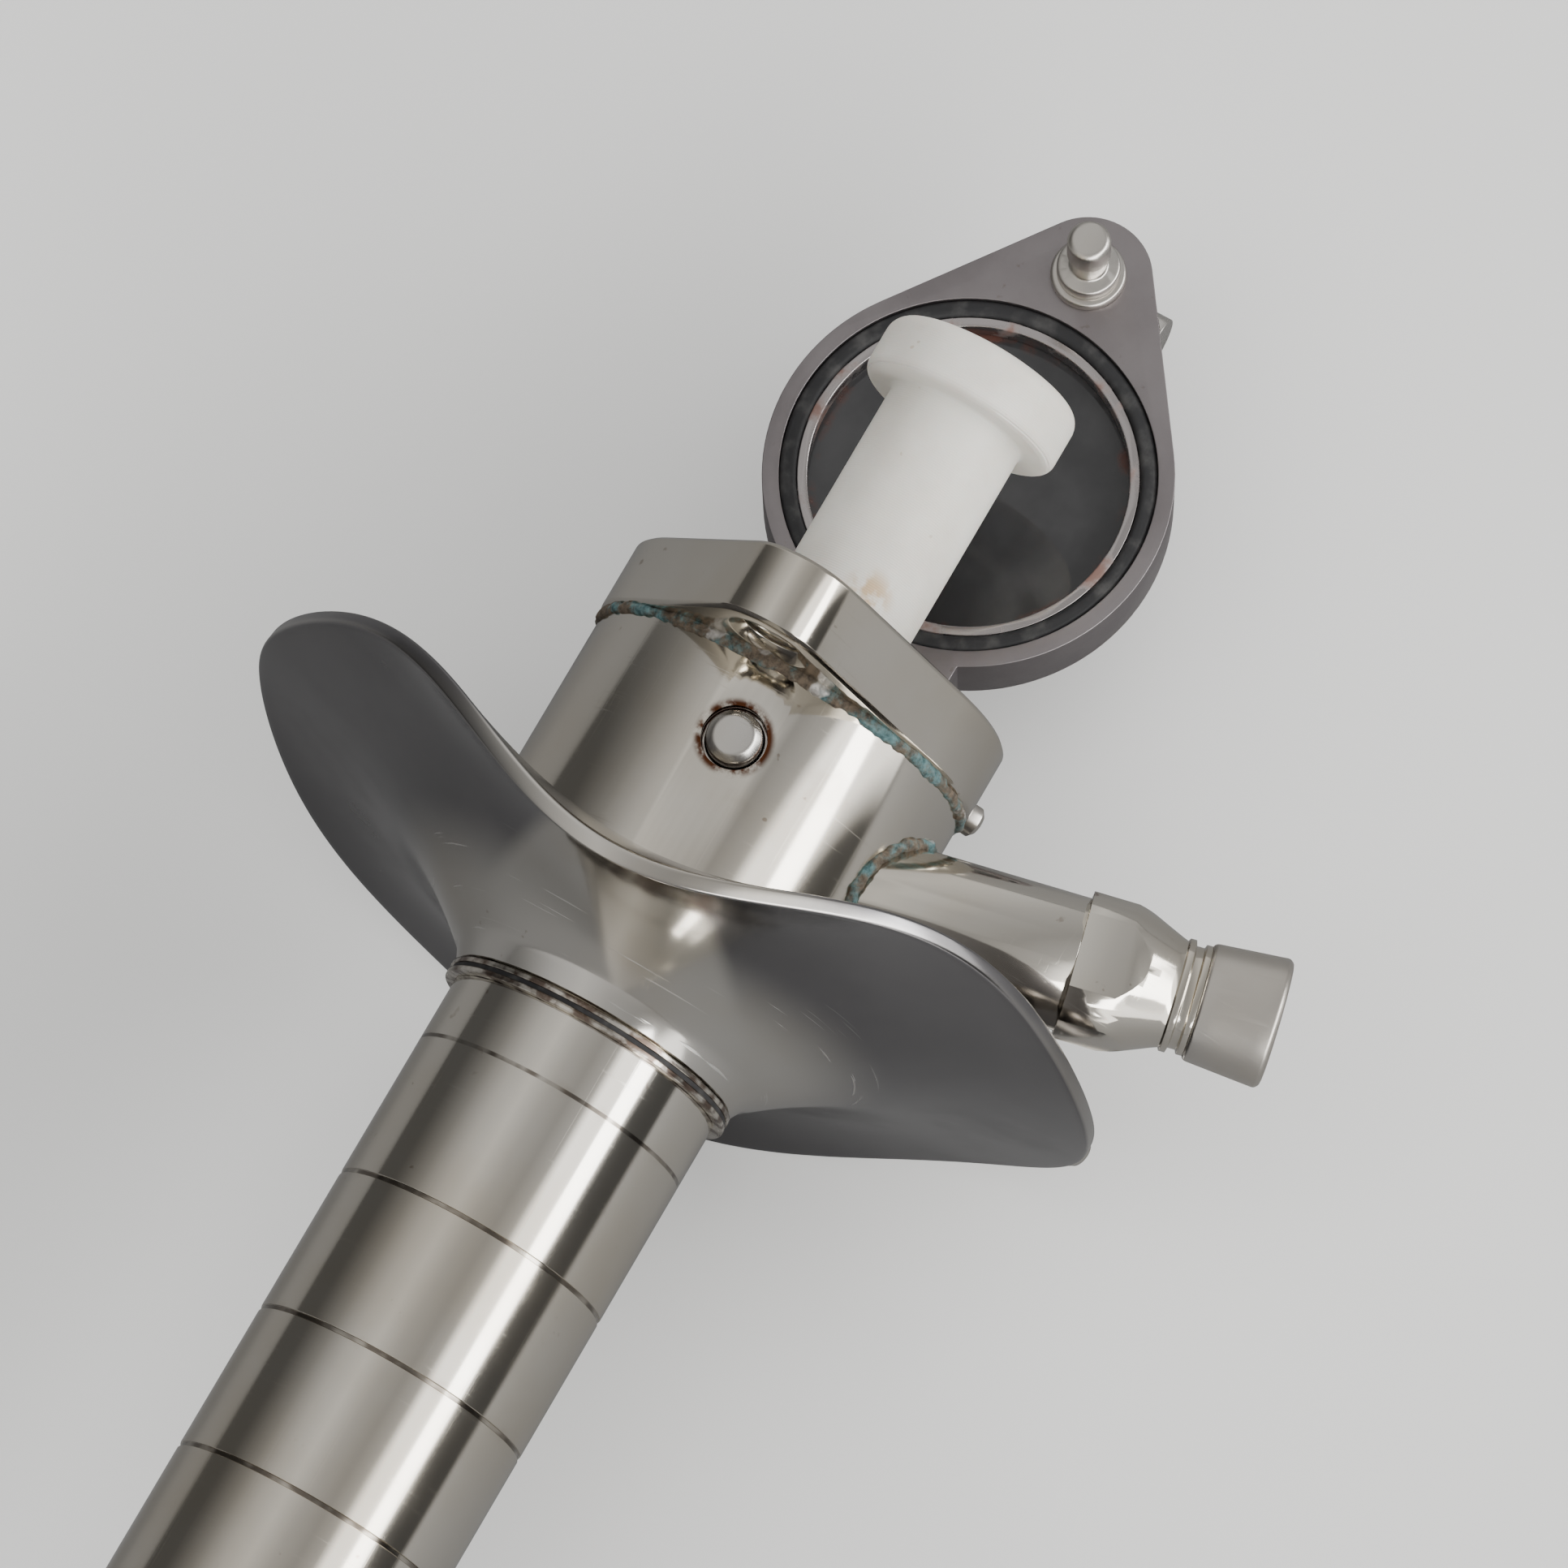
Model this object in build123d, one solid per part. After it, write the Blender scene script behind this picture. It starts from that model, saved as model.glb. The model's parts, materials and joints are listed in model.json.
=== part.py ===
from build123d import *
import math
import os

# Tubular speculum with a hinged window head, a finger plate, a side light post and a plastic obturator.
# Millimetres. The origin is the centre of the tube's far mouth. +X runs along the tube to the head,
# +Z runs from the axis to the latch lug, and +Y completes the right-handed frame.

# ---- driving dimensions -------------------------------------------------------------------------
TUBE_R = 9.4
BORE_R = 8.7
HEAD_TUBE_R = 9.2
HEAD_TUBE_LENGTH = 5.0
GRADUATION = 10.0
GRADUATION_COUNT = 19
GROOVE_DEPTH = 0.12
GROOVE_WIDTH = 0.3

FLANGE_X = 229.8
FLANGE_T = 5.03
FLANGE_R = 13.51
LUG_R = 4.25
LUG_OFFSET = 16.04

SLEEVE_R = 13.19
SLEEVE_INNER_R = 12.0
SOLDER_GAP = 0.5
LIGHT_RING_SPAN = (214.2, 216.8)
FLANGE_SCREW_ANGLE = -116.0

COLLAR_R = 10.1
COLLAR_X = 204.4
COLLAR_T = 1.0
SEAL_WIDTH = 0.3
SEAL_OUTER_R = 9.95
SEAL_INNER_R = 9.75
HUB_R = 9.9
HUB_END = 224.8

PLATE_R = 31.1
PLATE_T = 1.1
PLATE_X = 213.5
FLARE_DROP = 20.0
FLARE_POWER = 2.5
# Waves round the rim: number of crests, height, and the angle of one crest from +Z towards +Y.
TILT = (1, 1.7, -8)
WINGS = (2, 3.0, 80)
TWIST = (3, 0.9, -49)
SQUARE = (4, 1.4, 44)
LOBES = (5, 0.5, 29)
FLATS = (6, 0.4, 30)
RIM_WAVES = (TILT, WINGS, TWIST, SQUARE, LOBES, FLATS)

HINGE_X = 238.15
HINGE_Z = -14.7
OPEN_ANGLE = 94.2
FRAME_T = 4.5
KNUCKLE_R = 3.0
BRACKET_R = 2.5
PIN_R = 1.2
GASKET_R = 12.4
GLASS_R = 11.25
RETAINER_R = 10.54
REAR_OPENING_R = 10.0
GASKET_DEPTH = 1.6
GLASS_DEPTH = 3.2
GLASS_T = 1.5
FRAME_SCREW_R = 1.9
HINGE_HALF_WIDTH = 6.0
BRACKET_HALF_WIDTH = 2.3
HINGE_GAP = 0.3

BUTTON_X = 224.1
BUTTON_Y = -0.6
BUTTON_R = 1.8

POST_START = (221.26, -12.0, 2.57)
POST_DIR = (0.2352, -0.9630, -0.1313)
POST_R = 4.35
BUNDLE_R = 3.2
FITTING_START = 12.8
FITTING_END = 18.4
NECK_END = 21.0
POST_END = 26.2

NIPPLE_X = 218.2
NIPPLE_ANGLE = -126.0
NIPPLE_ROOT = 17.5
NIPPLE_TIP = 34.3
NIPPLE_R = 1.2
NIPPLE_BORE_R = 0.7

SHAFT_START = 222.0
SHAFT_R = 4.7
KNOB_R = 6.87
KNOB_X = 252.4
KNOB_T = 4.1
ROD_R = 2.4
TIP_R = 8.62
TIP_LENGTH = 26.0
NOSE_LENGTH = 13.0

RUNNING = 0.05
FLANGE_FACE = FLANGE_X + FLANGE_T
FACE_OFFSET = HINGE_X - FLANGE_FACE

MIN_Z = (Align.CENTER, Align.CENTER, Align.MIN)


# ---- helpers ------------------------------------------------------------------------------------
def rod(radius, start, direction, length):
    """Solid cylinder from a start point along a direction."""
    return Plane(origin=start, z_dir=direction) * Cylinder(radius, length, align=MIN_Z)


def along_x(radius, x0, x1):
    return rod(radius, (x0, 0, 0), (1, 0, 0), x1 - x0)


def ring_x(outer, inner, x0, x1):
    return along_x(outer, x0, x1) - along_x(inner, x0 - 1, x1 + 1)


def along_y(radius, x, z, half):
    return rod(radius, (x, -half, z), (0, 1, 0), 2 * half)


def turned(outline, start, direction):
    """Solid of revolution from (station, radius) corners along a direction."""
    face = make_face(Polyline([(radius, station) for station, radius in outline], close=True))
    return Plane(origin=start, z_dir=direction) * revolve(Plane.XZ * face, Axis.Z)


def box(x0, x1, y0, y1, z0, z1):
    centre = ((x0 + x1) / 2, (y0 + y1) / 2, (z0 + z1) / 2)
    return Pos(*centre) * Box(x1 - x0, y1 - y0, z1 - z0)


def teardrop(radius, lug_radius, offset):
    """A disc joined to a smaller lug disc by straight tangent sides."""
    turn = math.acos((radius - lug_radius) / offset)
    side, rise = math.sin(turn), math.cos(turn)
    web = Polygon(
        (radius * side, radius * rise),
        (lug_radius * side, offset + lug_radius * rise),
        (-lug_radius * side, offset + lug_radius * rise),
        (-radius * side, radius * rise),
        align=None,
    )
    return Circle(radius) + Pos(0, offset) * Circle(lug_radius) + web


def post_point(station):
    return tuple(a + station * b for a, b in zip(POST_START, POST_DIR))


# ---- tube and collar ----------------------------------------------------------------------------
def speculum_tube():
    body = ring_x(TUBE_R, BORE_R, 0, COLLAR_X)
    body += ring_x(HEAD_TUBE_R, BORE_R, COLLAR_X, COLLAR_X + HEAD_TUBE_LENGTH)
    for index in range(1, GRADUATION_COUNT + 1):
        middle = index * GRADUATION
        half = GROOVE_WIDTH / 2
        body -= ring_x(TUBE_R + 1, TUBE_R - GROOVE_DEPTH, middle - half, middle + half)
    return body


def collar_parts():
    low = COLLAR_X + (COLLAR_T - SEAL_WIDTH) / 2
    high = low + SEAL_WIDTH
    collar = ring_x(COLLAR_R, HEAD_TUBE_R, COLLAR_X, COLLAR_X + COLLAR_T)
    collar -= ring_x(COLLAR_R + 1, SEAL_INNER_R, low, high)
    seal = ring_x(SEAL_OUTER_R, SEAL_INNER_R, low, high)
    return collar, seal


# ---- finger plate -------------------------------------------------------------------------------
def plate_height(y, z):
    """X of the plate's far face: a trumpet flare whose two wings along Y stand higher."""
    rho = min(math.hypot(y, z) / PLATE_R, 1.08)
    angle = math.atan2(y, z)
    flare = FLARE_DROP * max(0.0, 1 - rho) ** FLARE_POWER
    waves = sum(height * rho**crests * math.cos(crests * (angle - math.radians(crest)))
                for crests, height, crest in RIM_WAVES)
    return PLATE_X - flare + waves


def plate_face():
    steps = 27
    reach = PLATE_R * 1.06
    places = [reach * (2 * k / (steps - 1) - 1) for k in range(steps)]
    grid = [[Vector(plate_height(y, z), y, z) for z in places] for y in places]
    return Face.make_surface_from_array_of_points(grid, tol=0.02)


def push(face, start, length):
    """The solid swept by the face from start to start + length along X."""
    return Solid.extrude(face.moved(Location((start, 0, 0))), Vector(length, 0, 0))


def plate_parts():
    face = plate_face()
    disc = ring_x(PLATE_R, HEAD_TUBE_R, COLLAR_X - 10, FLANGE_X)
    plate = (disc & push(face, 0, PLATE_T)) - along_x(COLLAR_R, COLLAR_X - 10, COLLAR_X + COLLAR_T)
    hub = ring_x(HUB_R, HEAD_TUBE_R, COLLAR_X + COLLAR_T, HUB_END) - push(face, 0, 60)
    sleeve = ring_x(SLEEVE_R, SLEEVE_INNER_R, COLLAR_X, FLANGE_X - SOLDER_GAP)
    sleeve -= push(face, PLATE_T - 60, 60)
    return plate, hub, sleeve


# ---- head ---------------------------------------------------------------------------------------
def flange_plane(x):
    return Plane(origin=(x, 0, 0), x_dir=(0, 1, 0), z_dir=(1, 0, 0))


def seat_flange():
    body = flange_plane(FLANGE_X) * extrude(teardrop(FLANGE_R, LUG_R, LUG_OFFSET), FLANGE_T)
    rims = body.edges().group_by(Axis.X)
    body = chamfer(rims[0] + rims[-1], 0.3)
    body -= along_x(BORE_R, FLANGE_X - 1, FLANGE_FACE + 1)
    lug = (FLANGE_X, 0, LUG_OFFSET)
    hole = turned([(-1, 0), (-1, 3.4), (0, 2.86), (0.66, 2.2), (2.73, 2.2), (2.73, 2.8), (9, 2.8), (9, 0)],
                  lug, (1, 0, 0))
    body -= hole
    body -= box(FLANGE_X - 1, FLANGE_X + 2.9, -1.6, 1.6, 9.75, 11.9)
    body -= box(FLANGE_X + 1.3, FLANGE_X + 2.9, -2.6, 2.6, 9.75, 19.2)
    return body


def hinge_bracket():
    low, high = HINGE_Z - BRACKET_R, HINGE_Z + BRACKET_R
    body = box(FLANGE_X, HINGE_X, -BRACKET_HALF_WIDTH, BRACKET_HALF_WIDTH, low, high)
    body += along_y(BRACKET_R, HINGE_X, HINGE_Z, BRACKET_HALF_WIDTH)
    body -= along_x(FLANGE_R, FLANGE_X - 1, FLANGE_FACE)
    return body - along_y(PIN_R, HINGE_X, HINGE_Z, 9)


def hinge_pin():
    return along_y(PIN_R, HINGE_X, HINGE_Z, HINGE_HALF_WIDTH + 0.35)


def head_trim():
    liner = ring_x(HEAD_TUBE_R, BORE_R, COLLAR_X + HEAD_TUBE_LENGTH, FLANGE_X)
    light_ring = ring_x(SLEEVE_INNER_R, HEAD_TUBE_R, *LIGHT_RING_SPAN)
    solder = ring_x(SLEEVE_R + 0.12, SLEEVE_INNER_R, FLANGE_X - SOLDER_GAP, FLANGE_X)
    solder -= box(FLANGE_X - 1, FLANGE_X + 1, -1.6, 1.6, 9.75, 12.2)
    angle = math.radians(FLANGE_SCREW_ANGLE)
    side = (0, math.sin(angle), math.cos(angle))
    seat = (FLANGE_X + 1.3, FLANGE_R * side[1], FLANGE_R * side[2])
    screw = turned([(-1.5, 0), (-1.5, 0.7), (0, 0.7), (0, 1.05), (1.0, 1.05), (1.3, 0.7), (1.3, 0)], seat, side)
    screw -= along_x(FLANGE_R, FLANGE_X - 3, FLANGE_FACE + 3)
    return liner, light_ring, solder, screw


# ---- light post ---------------------------------------------------------------------------------
def light_post():
    core = along_x(SLEEVE_R, 200, 240)
    bore = rod(BUNDLE_R, post_point(-6), POST_DIR, POST_END + 12)
    barrel = rod(POST_R, post_point(-4), POST_DIR, FITTING_START + 4) - core - bore

    toward_latch = Vector(0, 0, 1)
    direction = Vector(*POST_DIR)
    flat_normal = (toward_latch - direction * toward_latch.dot(direction)).normalized()
    turned_blank = turned(
        [(FITTING_START, 0), (FITTING_START, 5.0), (FITTING_END - 2.6, 5.0), (FITTING_END + 0.6, 3.65),
         (19.4, 3.5), (19.5, 3.7), (19.9, 3.7), (20.0, 3.35), (20.5, 3.35), (20.6, 3.6), (NECK_END, 3.6),
         (NECK_END, 0)],
        POST_START, POST_DIR)
    square = Plane(origin=POST_START, x_dir=flat_normal, z_dir=POST_DIR) * Box(8.7, 8.7, 60)
    fitting = (turned_blank & square) - bore

    adaptor = turned(
        [(NECK_END, 0), (NECK_END, 3.65), (NECK_END + 0.2, 3.85), (POST_END - 0.3, 4.25), (POST_END, 4.0),
         (POST_END, 0)],
        POST_START, POST_DIR)
    adaptor -= rod(BUNDLE_R, post_point(NECK_END - 1), POST_DIR, 9)
    ferrule = rod(BUNDLE_R, post_point(22.0), POST_DIR, 3.2) - rod(2.3, post_point(21), POST_DIR, 9)
    bundle = rod(BUNDLE_R, post_point(-4), POST_DIR, 25.98) - along_x(SLEEVE_INNER_R, 200, 240)
    bundle += rod(2.3, post_point(22.0), POST_DIR, 3.1)

    fillet_zone = ring_x(SLEEVE_R + 0.8, SLEEVE_R, 205, FLANGE_X - 0.6)
    solder = (rod(POST_R + 0.55, post_point(-4), POST_DIR, 8) & fillet_zone)
    solder -= rod(POST_R, post_point(-6), POST_DIR, 12)
    return barrel, fitting, adaptor, ferrule, bundle, solder, bore


# ---- gas nipple ---------------------------------------------------------------------------------
def nipple_parts():
    angle = math.radians(NIPPLE_ANGLE)
    outward = (0, math.sin(angle), math.cos(angle))
    start = (NIPPLE_X, 0, 0)
    core = along_x(SLEEVE_R, 205, 230)
    base = turned([(11, 0), (11, 2.6), (14.6, 2.6), (15.2, 2.1), (NIPPLE_ROOT, 2.1), (NIPPLE_ROOT, 0)],
                  start, outward)
    base = base - core - rod(NIPPLE_BORE_R, start, outward, 60)
    stem = turned(
        [(NIPPLE_ROOT, 0), (NIPPLE_ROOT, NIPPLE_R), (NIPPLE_TIP - 0.5, NIPPLE_R), (NIPPLE_TIP, 0.9),
         (NIPPLE_TIP, 0)],
        start, outward)
    stem -= rod(NIPPLE_BORE_R, start, outward, 60)
    return base, stem, rod(NIPPLE_BORE_R, start, outward, 20)


# ---- release button -----------------------------------------------------------------------------
def button_parts():
    seat = (BUTTON_X, BUTTON_Y, 0)
    up = (0, 0, 1)
    bezel = rod(2.1, (BUTTON_X, BUTTON_Y, 11.3), up, 1.1) - rod(BUTTON_R + 0.08, (BUTTON_X, BUTTON_Y, 9), up, 6)
    button = turned([(10.7, 0), (10.7, BUTTON_R), (13.35, BUTTON_R), (13.8, 1.3), (13.8, 0)], seat, up)
    arm = box(BUTTON_X, FLANGE_X + 2.6, -1.2, 1.2, 10.3, 10.7)
    latch = box(FLANGE_X + 1.6, FLANGE_X + 2.6, -2.2, 2.2, 10.7, 18.7)
    latch -= rod(1.75, (FLANGE_X, 0, LUG_OFFSET + 0.56), (1, 0, 0), 9)
    turns = Helix(pitch=0.28, height=0.56, radius=1.0)
    wire = sweep(Plane(origin=turns @ 0, z_dir=turns % 0) * Circle(0.1), path=turns)
    spring = Pos(BUTTON_X, BUTTON_Y, 9.55) * wire
    return bezel, button, arm, latch, spring


# ---- window ------------------------------------------------------------------------------------
def window_plane(height):
    """Plane parallel to the window's face; local Y runs from the hinge to the catch pin."""
    turn = math.radians(OPEN_ANGLE)
    normal = (-math.cos(turn), 0, math.sin(turn))
    origin = (HINGE_X + height * normal[0], 0, HINGE_Z + height * normal[2])
    return Plane(origin=origin, x_dir=(0, -1, 0), z_dir=normal)


def window_disc(outer, inner, low, high):
    centre = -HINGE_Z
    disc = Pos(0, centre) * Circle(outer)
    if inner:
        disc -= Pos(0, centre) * Circle(inner)
    return window_plane(low) * extrude(disc, high - low)


def window_parts():
    face = FACE_OFFSET
    back = face - FRAME_T
    centre = -HINGE_Z
    outline = Pos(0, centre) * teardrop(FLANGE_R, LUG_R, LUG_OFFSET)
    outline += Pos(0, centre / 2) * Rectangle(2 * HINGE_HALF_WIDTH, centre)
    frame = window_plane(back) * extrude(outline, FRAME_T)
    frame += along_y(KNUCKLE_R, HINGE_X, HINGE_Z, HINGE_HALF_WIDTH)
    frame -= along_y(BRACKET_R + 0.5, HINGE_X, HINGE_Z, BRACKET_HALF_WIDTH + HINGE_GAP)
    frame -= along_y(PIN_R + RUNNING, HINGE_X, HINGE_Z, 9)
    frame -= window_disc(GASKET_R, 0, face - GASKET_DEPTH, face + 1)
    frame -= window_disc(GLASS_R, 0, face - GLASS_DEPTH, face)
    frame -= window_disc(REAR_OPENING_R, 0, back - 4, face)

    glass_top = face - GLASS_DEPTH + GLASS_T
    gasket = window_disc(GASKET_R, GLASS_R, face - GASKET_DEPTH, face - 0.15)
    retainer = window_disc(GLASS_R, RETAINER_R, glass_top, face - 0.35)
    glass = window_disc(GLASS_R, 0, face - GLASS_DEPTH, glass_top)

    pin_centre = centre + LUG_OFFSET
    pin_place = window_plane(face) * Pos(0, pin_centre)
    collar = pin_place * Cylinder(2.5, 0.8, align=MIN_Z)
    pin = revolve(Plane.XZ * make_face(Polyline(
        [(0, 0.8), (2.1, 0.8), (2.1, 1.9), (1.2, 2.1), (1.2, 3.75), (1.45, 3.95), (1.45, 5.9), (1.15, 6.2),
         (0, 6.2)], close=True)), Axis.Z)
    pin = pin_place * pin
    side = window_plane(face - FRAME_T / 2) * Pos(5.0, pin_centre - 1.2)
    grub = side * (Rot(0, 90, 0) * Cylinder(FRAME_SCREW_R, 2.1))
    grub -= frame
    return frame, gasket, retainer, glass, collar, pin, grub


# ---- obturator ----------------------------------------------------------------------------------
def obturator_parts():
    shaft_start = SHAFT_START
    grip = turned(
        [(shaft_start, 0), (shaft_start, SHAFT_R - 0.6), (shaft_start + 0.6, SHAFT_R), (KNOB_X, SHAFT_R),
         (KNOB_X, KNOB_R - 0.4), (KNOB_X + 0.4, KNOB_R), (KNOB_X + KNOB_T - 0.8, KNOB_R),
         (KNOB_X + KNOB_T - 0.2, KNOB_R - 0.35), (KNOB_X + KNOB_T, KNOB_R - 1.0), (KNOB_X + KNOB_T, 0)],
        (0, 0, 0), (1, 0, 0))
    tail = TIP_LENGTH - NOSE_LENGTH
    rod_body = along_x(ROD_R, tail - 6, shaft_start + 12)
    grip -= along_x(ROD_R, shaft_start - 1, shaft_start + 12)

    nose = EllipticalCenterArc((0, 0), NOSE_LENGTH, TIP_R, start_angle=90, arc_size=90)
    edge = Polyline((-NOSE_LENGTH, 0), (tail, 0), (tail, TIP_R - 2), (tail - 2, TIP_R), (0, TIP_R))
    tip = revolve(make_face(nose + edge), Axis.X)
    tip -= along_x(ROD_R, tail - 6, tail + 1)
    return grip, rod_body, tip


# ---- build --------------------------------------------------------------------------------------
def build():
    parts = {"speculum_tube": speculum_tube()}
    parts["tube_collar"], parts["tube_seal_ring"] = collar_parts()
    parts["finger_plate"], parts["plate_hub"], sleeve = plate_parts()
    parts["seat_flange"] = seat_flange()
    parts["hinge_bracket"] = hinge_bracket()
    parts["hinge_pin"] = hinge_pin()
    liner, light_ring, solder, screw = head_trim()
    parts["inner_liner"] = liner
    parts["light_ring"] = light_ring
    parts["flange_solder"] = solder
    parts["flange_screw"] = screw

    barrel, fitting, adaptor, ferrule, bundle, post_solder, post_bore = light_post()
    parts["light_post_barrel"] = barrel
    parts["post_fitting"] = fitting
    parts["post_adaptor"] = adaptor
    parts["fibre_ferrule"] = ferrule
    parts["fibre_bundle"] = bundle
    parts["post_solder"] = post_solder

    base, stem, gas_hole = nipple_parts()
    parts["nipple_base"] = base
    parts["gas_nipple"] = stem

    bezel, button, arm, latch, spring = button_parts()
    sleeve -= rod(2.1, (BUTTON_X, BUTTON_Y, 5), (0, 0, 1), 12)
    parts["head_sleeve"] = sleeve - post_bore - gas_hole
    parts["button_bush"] = bezel
    parts["release_button"] = button
    parts["latch_arm"] = arm
    parts["latch_plate"] = latch
    parts["button_spring"] = spring

    names = ["window_frame", "window_gasket", "retaining_ring", "window_glass", "catch_pin_collar",
             "catch_pin", "frame_screw"]
    parts.update(zip(names, window_parts()))
    parts.update(zip(["obturator_grip", "obturator_rod", "obturator_tip"], obturator_parts()))
    return parts


os.makedirs("parts", exist_ok=True)
for name, shape in build().items():
    export_step(shape, f"parts/{name}.step")
    print(name, round(shape.volume, 2))
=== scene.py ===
# %% [markdown]
# # A rigid speculum with a window head
#
# The instrument is a nickel-plated tube with ring marks, a winged finger plate, a head with a light post,
# a hinged round window and a white plastic obturator. The CAD frame gives the sizes and places. Blender
# adds what the eye reads first: rounded edges that catch the light, polished metal with smudges, solder
# with verdigris, rubber, stained glass and matte plastic. Blender's own unit is the metre, and MM turns a
# length in millimetres into it.

# %% Load the frame
import json
import math
import bpy
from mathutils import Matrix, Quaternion, Vector


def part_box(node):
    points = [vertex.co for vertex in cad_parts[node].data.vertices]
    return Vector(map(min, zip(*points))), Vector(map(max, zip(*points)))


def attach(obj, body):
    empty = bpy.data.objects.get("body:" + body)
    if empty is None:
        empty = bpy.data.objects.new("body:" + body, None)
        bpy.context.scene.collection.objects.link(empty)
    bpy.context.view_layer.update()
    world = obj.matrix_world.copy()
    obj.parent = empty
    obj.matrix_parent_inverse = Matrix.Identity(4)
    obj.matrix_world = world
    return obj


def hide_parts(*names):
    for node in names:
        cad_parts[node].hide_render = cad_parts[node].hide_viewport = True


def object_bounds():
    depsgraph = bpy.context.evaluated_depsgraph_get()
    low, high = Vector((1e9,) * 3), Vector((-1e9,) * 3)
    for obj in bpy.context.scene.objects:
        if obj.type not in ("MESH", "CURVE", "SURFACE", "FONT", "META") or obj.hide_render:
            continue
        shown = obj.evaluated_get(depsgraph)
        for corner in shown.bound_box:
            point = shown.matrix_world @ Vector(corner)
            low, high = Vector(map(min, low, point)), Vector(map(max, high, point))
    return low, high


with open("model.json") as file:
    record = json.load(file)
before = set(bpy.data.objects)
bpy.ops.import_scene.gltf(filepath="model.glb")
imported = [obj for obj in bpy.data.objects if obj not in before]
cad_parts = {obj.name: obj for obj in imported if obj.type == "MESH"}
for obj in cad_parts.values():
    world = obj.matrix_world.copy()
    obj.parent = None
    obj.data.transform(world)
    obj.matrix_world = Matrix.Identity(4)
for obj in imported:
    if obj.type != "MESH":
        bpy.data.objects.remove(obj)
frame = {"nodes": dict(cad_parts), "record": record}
cad_low, cad_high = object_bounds()
MM = 0.001
body_of_node = {}
for body, members in frame["record"]["behaviour"]["bodies"].items():
    for member in members:
        body_of_node[member] = body
print("nodes", len(frame["nodes"]), "size in mm", [round(v / MM, 1) for v in cad_high - cad_low])

# %% [markdown]
# ## Camera
# The instrument is seen from above and a little from the tube's side, with a long lens, so that the tube
# leaves the view at the lower left. A look-at point and a roll are easier to read than a matrix.

# %% Camera
camera_place = Vector((80.5, -124.2, 632.9)) * MM
look_at = Vector((226.0, -2.3, 0.0)) * MM
camera_data = bpy.data.cameras.new("camera")
camera_data.lens = 238.6
camera_data.sensor_width = 36.0
camera = bpy.data.objects.new("camera", camera_data)
bpy.context.scene.collection.objects.link(camera)
camera.location = camera_place
camera.rotation_mode = "QUATERNION"
roll = Quaternion((0, 0, 1), math.radians(-10.72))
camera.rotation_quaternion = (look_at - camera_place).to_track_quat("-Z", "Y") @ roll
bpy.context.scene.camera = camera
print("camera distance in mm", round((look_at - camera_place).length / MM))

# %% [markdown]
# ## Floor
# A plain pale plane lies just under the lowest point of the finger plate.

# %% Floor
def only(piece):
    """Selects one object and makes it active, so that operators act on nothing else."""
    bpy.ops.object.select_all(action="DESELECT")
    piece.select_set(True)
    bpy.context.view_layer.objects.active = piece


def settle(piece):
    """Moves an object's place, turn and scale into its mesh."""
    only(piece)
    bpy.ops.object.transform_apply(location=True, rotation=True, scale=True)
    return piece


FLOOR_GAP = 0.3 * MM
bpy.ops.object.select_all(action="DESELECT")
bpy.ops.mesh.primitive_plane_add(size=6.0, location=(0.2, 0, cad_low.z - FLOOR_GAP))
floor = settle(bpy.context.object)
floor.name = "floor"
print("floor height in mm", round((cad_low.z - FLOOR_GAP) / MM, 2))

# %% [markdown]
# ## Node maths
# Shader maths reads badly as a list of nodes and links. A small class wraps a socket, so that an
# expression on values such as `0.1 + 0.2 * smudge` adds its Math nodes. One method makes every other node.

# %% Sockets as values
class Value:
    """A shader socket that takes part in Python expressions."""

    def __init__(self, paint, socket):
        self.paint = paint
        self.socket = socket

    def math(self, operation, other=0.0, swap=False, clamp=False):
        first, second = (other, self) if swap else (self, other)
        settings = {"operation": operation, "use_clamp": clamp}
        return self.paint.node("ShaderNodeMath", settings, {0: first, 1: second})

    def __add__(self, other):
        return self.math("ADD", other)

    def __sub__(self, other):
        return self.math("SUBTRACT", other)

    def __mul__(self, other):
        return self.math("MULTIPLY", other)

    def __rsub__(self, other):
        return self.math("SUBTRACT", other, swap=True)

    def __pow__(self, other):
        return self.math("POWER", other)

    __radd__ = __add__
    __rmul__ = __mul__

    def clamped(self):
        return self.math("ADD", 0.0, clamp=True)

    def step(self, low, high):
        """0 below low, 1 above high and smooth between. With low above high it falls instead."""
        rising = low < high
        ends = (low, high) if rising else (high, low)
        out = (0.0, 1.0) if rising else (1.0, 0.0)
        settings = {"interpolation_type": "SMOOTHSTEP", "clamp": True}
        inputs = {"Value": self, "From Min": ends[0], "From Max": ends[1], "To Min": out[0], "To Max": out[1]}
        return self.paint.node("ShaderNodeMapRange", settings, inputs)


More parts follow.
